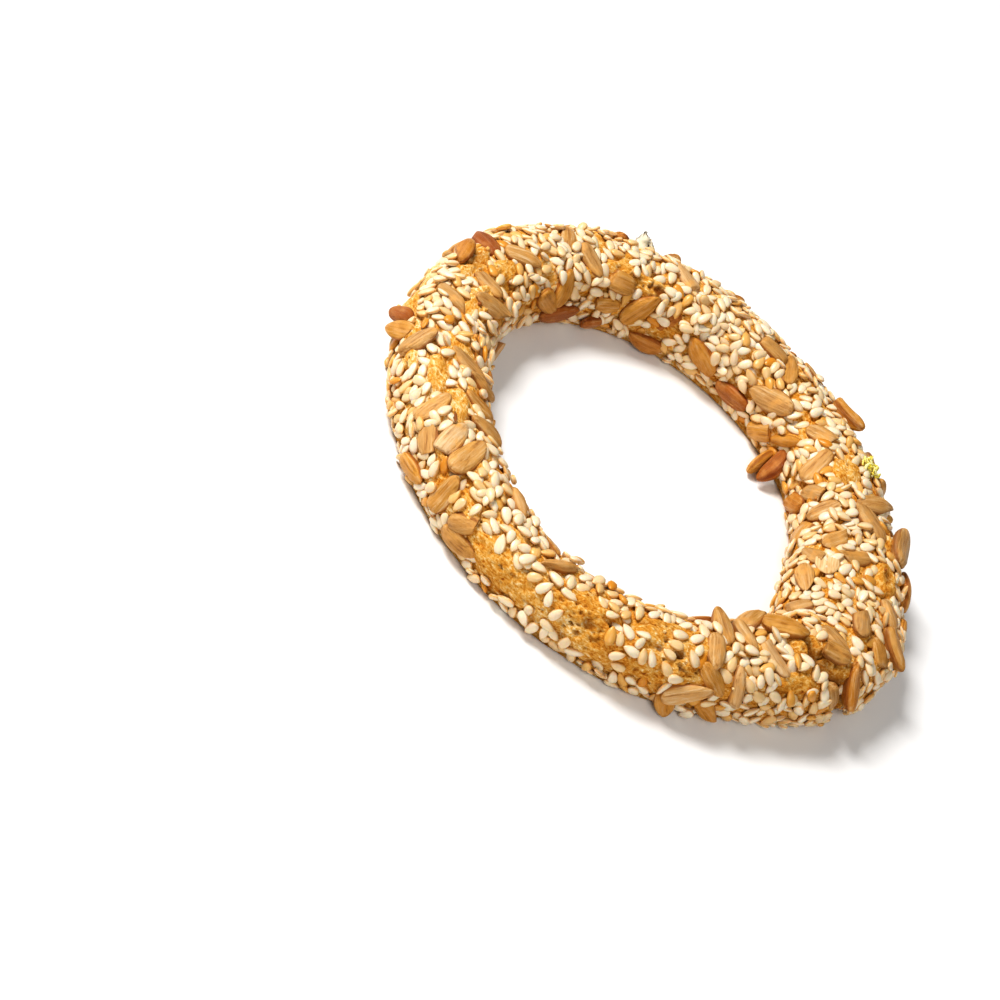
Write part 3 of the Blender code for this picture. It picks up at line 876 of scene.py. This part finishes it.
# Ring angle, rope angle, turn, lean, and length, width and thickness in millimetres
FLAKE = (10, 124, 4, 0, 6.6, 5.2, 1.1)
FLAKE_RINGS, FLAKE_SIDES = 14, 20
FLAKE_FORM = (0.5, 0.5, 0.8, 0.8)
FLAKE_OUT = 0.9 * MM
GROOVE = 0.45 * MM
# The tuft's ring and rope angle, and its crumbs' least and greatest sizes in millimetres
YELLOW_TUFT = (48.3, 67)
TUFT_CRUMBS, TUFT_SPREAD = 54, 0.85 * MM
TUFT_SIZES = ((1.2, 0.6, 0.3), (2.5, 1.3, 0.6))
LOOSE_CRUMBS, LOOSE_SHREDS = 260, 26
# The loose crumbs' sizes in millimetres, and how much longer or shorter each side is
CRUMB_SIZES, CRUMB_SHAPES = (0.45, 1.25), (0.6, 1.2)
CRUMB_ROWS, SHRED_ROWS = (-36, 216), (-30, 210)
# The papery shreds that show: ring angle, rope angle, turn, lean, length and width in millimetres
SHREDS_SHOWN = (
    (123.5, 62, 255, 52, 5.2, 3.2), (121.5, 60, 285, 44, 4.0, 2.4), (144.5, 56, 20, 10, 5.0, 1.6),
)
# The thickness of all shreds in millimetres, and the tone of those that show
SHRED_THICKNESS = 0.14
SHOWN_TONE = 0.16
CRUMB_RINGS, CRUMB_SIDES = 3, 6
SHRED_RINGS, SHRED_SIDES = 6, 6
SCRAP_FORM = (0.5, 0.6, 0.9, 0.9)


def scraps(draw, ring, rope, turn, lean, sizes, rings, sides, out):
    """Small drops set on the crust at places in degrees, curled along their length by a square law, each
    point moved a little at random, and standing out by a distance."""
    own = drops(*sizes.T, rings, sides, *SCRAP_FORM)
    curl = draw.uniform(-0.5, 0.9, len(ring))[:, None] * sizes[:, :1]
    own[..., 2] += curl * (own[..., 0] / sizes[:, :1]) ** 2
    own += draw.normal(0, 0.09, own.shape) * sizes[:, None] * (1, 1, 0.6)
    point, normal, axes = seed_axes(ring, rope, turn, lean)
    return set_down(own, point + normal * (crust_height(ring, rope) + out)[:, None], axes)


def pale_flake():
    """Flattened grain: matt and pale cream, with faint fibres along it."""
    material = new_material("pale_flake")
    own = carried(material, "own", "Vector")
    stretched = node(
        material, "ShaderNodeMapping", {"Scale": (220.0, 2200.0, 2200.0)}, {"Vector": own}
    ).outputs[0]
    fibres = node(
        material, "ShaderNodeTexNoise", {"Scale": 1.0, "Detail": 3.0}, {"Vector": stretched}
    ).outputs["Fac"]
    colour = ramp(material, fibres, (
        (0.3, "#BE9058"), (0.5, "#D6B280"), (0.7, "#E6CCA0"),
    ))
    lines = bumped(material, fibres, 0.6, 0.0002)
    return surfaced(material, {"Roughness": 0.6, "IOR": 1.46}, {"Base Color": colour, "Normal": lines})


def crumbs_and_hull():
    """Crumbs and shreds of crust, seed and papery hull: matt and a little translucent, from white
    through cream to brown, and bright yellow at the top of the range."""
    material = new_material("crumbs_and_hull")
    tone = carried(material, "tone")
    place = node(material, "ShaderNodeTexCoord").outputs["Object"]
    colour = ramp(material, tone, (
        (0.0, "#FBF1DF"), (0.25, "#F0DBB0"), (0.45, "#DDA85C"), (0.7, "#B87636"), (0.88, "#7A4620"),
        (0.9, "#F0D848"), (1.0, "#FAF0B0"),
    ))
    grain = node(
        material, "ShaderNodeTexNoise", {"Scale": 2500.0, "Detail": 2.0}, {"Vector": place}
    ).outputs["Fac"]
    rough = bumped(material, grain, 0.5, 0.0002)
    return surfaced(
        material,
        {"Roughness": 0.65, "IOR": 1.45, "Subsurface Weight": 0.4, "Subsurface Radius": (1.0, 0.8, 0.5),
         "Subsurface Scale": 0.0008},
        {"Base Color": colour, "Normal": rough},
    )


flake_ring, flake_rope, flake_turn, flake_lean = (np.array([float(value)]) for value in FLAKE[:4])
flake_size = np.array([FLAKE[4:]]) * MM
flake_own = drops(*flake_size.T, FLAKE_RINGS, FLAKE_SIDES, *FLAKE_FORM)
groove = np.exp(-((flake_own[..., 1] / GROOVE) ** 2)) * (flake_own[..., 2] > 0)
flake_own[..., 2] -= GROOVE * groove * (1 - (flake_own[..., 0] / flake_size[0, 0] * 2) ** 4)
point, normal, axes = seed_axes(flake_ring, flake_rope, flake_turn, flake_lean)
flake_lift = crust_height(flake_ring, flake_rope) + FLAKE_OUT
flake_points = set_down(flake_own, point + normal * flake_lift[:, None], axes)
flake = mesh_object(
    "flake", flake_points.reshape(-1, 3), seed_faces(1, FLAKE_RINGS, FLAKE_SIDES),
    {"own": flake_own.reshape(-1, 3)}, pale_flake(),
)
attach(flake, "root")
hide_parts("bread_ring")

ring, rope = places(draw, LOOSE_CRUMBS * 2, *CRUMB_ROWS, 0.0)
tuft_ring = YELLOW_TUFT[0] + np.degrees(draw.normal(0, TUFT_SPREAD, TUFT_CRUMBS) / RING_RADIUS)
tuft_rope = YELLOW_TUFT[1] + np.degrees(draw.normal(0, TUFT_SPREAD, TUFT_CRUMBS) / (ROPE_WIDTH / 2))
loose = len(ring)
ring, rope = np.concatenate([ring, tuft_ring]), np.concatenate([rope, tuft_rope])
tone = np.concatenate([draw.uniform(0.2, 0.8, loose), draw.uniform(0.9, 1, TUFT_CRUMBS)])
number = len(ring)
sizes = draw.uniform(*CRUMB_SIZES, (number, 1)) * draw.uniform(*CRUMB_SHAPES, (number, 3)) * MM
sizes[loose:] = draw.uniform(*TUFT_SIZES, (TUFT_CRUMBS, 3)) * MM
out = np.concatenate([draw.uniform(0, 0.4, loose), draw.uniform(0.6, 1.9, TUFT_CRUMBS)]) * MM
turn, lean = draw.uniform(0, 360, number), draw.uniform(-60, 60, number)
crumb_points = scraps(draw, ring, rope, turn, lean, sizes, CRUMB_RINGS, CRUMB_SIDES, out)
crumbs = mesh_object(
    "crumbs", crumb_points.reshape(-1, 3), seed_faces(number, CRUMB_RINGS, CRUMB_SIDES),
    {"tone": np.repeat(tone, crumb_points.shape[1])}, crumbs_and_hull(),
)
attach(crumbs, "root")
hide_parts("bread_ring")

ring, rope = places(draw, LOOSE_SHREDS * 2, *SHRED_ROWS, 0.0)
number = len(ring)
is_skin = draw.uniform(size=number) < 0.4
tone = np.where(is_skin, draw.uniform(0.1, 0.35, number), draw.uniform(0.5, 0.85, number))
turn, lean = draw.uniform(0, 360, number), draw.uniform(-12, 25, number)
long, wide = draw.uniform(1.3, 3.4, number), draw.uniform(0.5, 1.3, number)
shreds = np.stack([ring, rope, turn, lean, long, wide], -1)
shreds = np.concatenate([shreds, SHREDS_SHOWN])
number = len(shreds)
tone = np.concatenate([tone, np.full(len(SHREDS_SHOWN), SHOWN_TONE)])
sizes = np.stack([shreds[:, 4], shreds[:, 5], np.full(number, SHRED_THICKNESS)], -1) * MM
shred_points = scraps(
    draw, *shreds[:, :4].T, sizes, SHRED_RINGS, SHRED_SIDES, draw.uniform(0.3, 1.1, number) * MM
)
hull_shreds = mesh_object(
    "hull_shreds", shred_points.reshape(-1, 3), seed_faces(number, SHRED_RINGS, SHRED_SIDES),
    {"tone": np.repeat(tone, shred_points.shape[1])}, crumbs.data.materials[0],
)
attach(hull_shreds, "root")
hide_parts("bread_ring")

# Table, light and camera
# A plain pale table, and broad soft studio lights. The camera looks down on the ring from 37
# degrees above the table and is rolled as the photograph shows the ring.

CAMERA_ROLL = math.radians(40.4)
CAMERA_DISTANCE = 0.560
FIELD_WIDTH = 0.200
SENSOR_WIDTH = 36.0
# Where the ring's middle lies in the picture, in pixels of a square frame
FRAME_PIXELS = 1000
RING_PIXEL = (649.2, 461.6)
PIXELS_PER_METRE = FRAME_PIXELS / FIELD_WIDTH
MIDDLE_HEIGHT = 8.0 * MM

middle = Vector((*RING_CENTRE, MIDDLE_HEIGHT))
back = Vector((0, -math.cos(VIEW_RISE), math.sin(VIEW_RISE)))
level = Vector((1, 0, 0))
upright = back.cross(level)
right = level * math.cos(CAMERA_ROLL) + upright * math.sin(CAMERA_ROLL)
top = upright * math.cos(CAMERA_ROLL) - level * math.sin(CAMERA_ROLL)
eye = middle + back * CAMERA_DISTANCE
to_right = (RING_PIXEL[0] - FRAME_PIXELS / 2) / PIXELS_PER_METRE
to_top = (FRAME_PIXELS / 2 - RING_PIXEL[1]) / PIXELS_PER_METRE
aim = middle - right * to_right - top * to_top
view_back = (eye - aim).normalized()
view_right = top.cross(view_back).normalized()
camera_data = bpy.data.cameras.new("camera")
camera_data.sensor_width = SENSOR_WIDTH
camera_data.lens = SENSOR_WIDTH * (eye - aim).length / FIELD_WIDTH
camera = bpy.data.objects.new("camera", camera_data)
camera.matrix_world = Matrix((view_right, view_back.cross(view_right), view_back)).transposed().to_4x4()
camera.matrix_world.translation = eye
bpy.context.scene.collection.objects.link(camera)
bpy.context.scene.camera = camera

# Matt white board, which gives the eye a plain bright ground
board_look = {"Base Color": linear("#F4F3F2"), "Roughness": 0.7, "Specular IOR Level": 0.2}
pale_table = surfaced(new_material("pale_table"), board_look)
bpy.ops.mesh.primitive_plane_add(size=6.0)
table = bpy.context.object
table.name = "table"
table.data.materials.append(pale_table)


def soft_light(name, direction, distance, size, power):
    """A square area light of a given size and power, that faces the ring from a direction."""
    data = bpy.data.lights.new(name, "AREA")
    data.size = size
    data.energy = power
    lamp = bpy.data.objects.new(name, data)
    lamp.location = middle + direction.normalized() * distance
    lamp.rotation_euler = direction.to_track_quat("Z", "Y").to_euler()
    bpy.context.scene.collection.objects.link(lamp)


soft_light("key", top * 0.85 + back * 0.45 - right * 0.12, distance=0.9, size=0.32, power=7.1)
soft_light("fill", back * 0.9 - top * 0.1 + right * 0.3, distance=1.2, size=0.7, power=4.7)

world = bpy.data.worlds.new("studio")
world.use_nodes = True
world.node_tree.nodes["Background"].inputs["Color"].default_value = (1.0, 0.985, 0.96, 1.0)
world.node_tree.nodes["Background"].inputs["Strength"].default_value = 0.15
bpy.context.scene.world = world
bpy.context.scene.view_settings.view_transform = "Standard"
bpy.context.scene.view_settings.look = "High Contrast"
